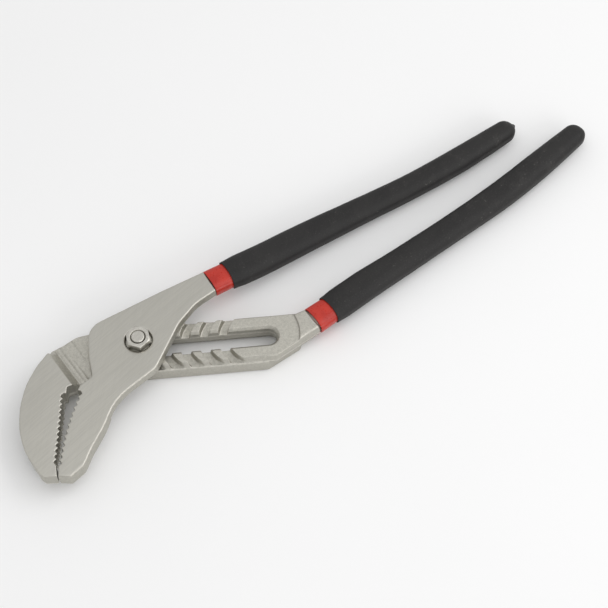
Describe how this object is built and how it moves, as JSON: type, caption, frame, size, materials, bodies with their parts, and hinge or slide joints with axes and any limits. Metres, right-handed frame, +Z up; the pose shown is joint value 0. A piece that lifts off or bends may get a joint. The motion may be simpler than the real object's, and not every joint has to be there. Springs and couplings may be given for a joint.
{
  "type": "tongue and groove pliers",
  "caption": "Tongue and groove pliers with toothed jaws, a slotted arm with grooves across it, a nut and bolt pivot and dipped grips; they open at the pivot, which shifts along the slot.",
  "frame": {"origin": "centre of the bounding box in plan, on the surface the tool lies on", "axes": "+X along the tool from the jaws to the grips, +Z up out of the plate's face, +Y to the side of the grip whose tang carries the plate"},
  "size_m": [0.4016, 0.084, 0.0241],
  "materials": {
    "satin_steel": "satin",
    "bright_steel": "satin",
    "red_dip": "gloss",
    "black_dip": "matte"
  },
  "bodies": {
    "groove_half_body": {"groove_half": "satin_steel", "groove_grip_underlay": "red_dip", "groove_grip_sleeve": "black_dip"},
    "pivot": {"pivot_bolt": "bright_steel", "pivot_nut": "bright_steel"},
    "tongue_half_body": {"tongue_half": "satin_steel", "tongue_grip_underlay": "red_dip", "tongue_grip_sleeve": "black_dip"}
  },
  "joints": [
    {"name": "setting_shift", "type": "hinge", "parent": "groove_half_body", "child": "pivot", "pos_m": [0.24825, 0.54535, 0], "axis": [0, 0, 1], "range_deg": [0, 6]},
    {"name": "jaw_hinge", "type": "hinge", "parent": "pivot", "child": "tongue_half_body", "pos_m": [-0.11076, 0.0131, 0], "axis": [0, 0, 1], "range_deg": [0, 60]}
  ]
}
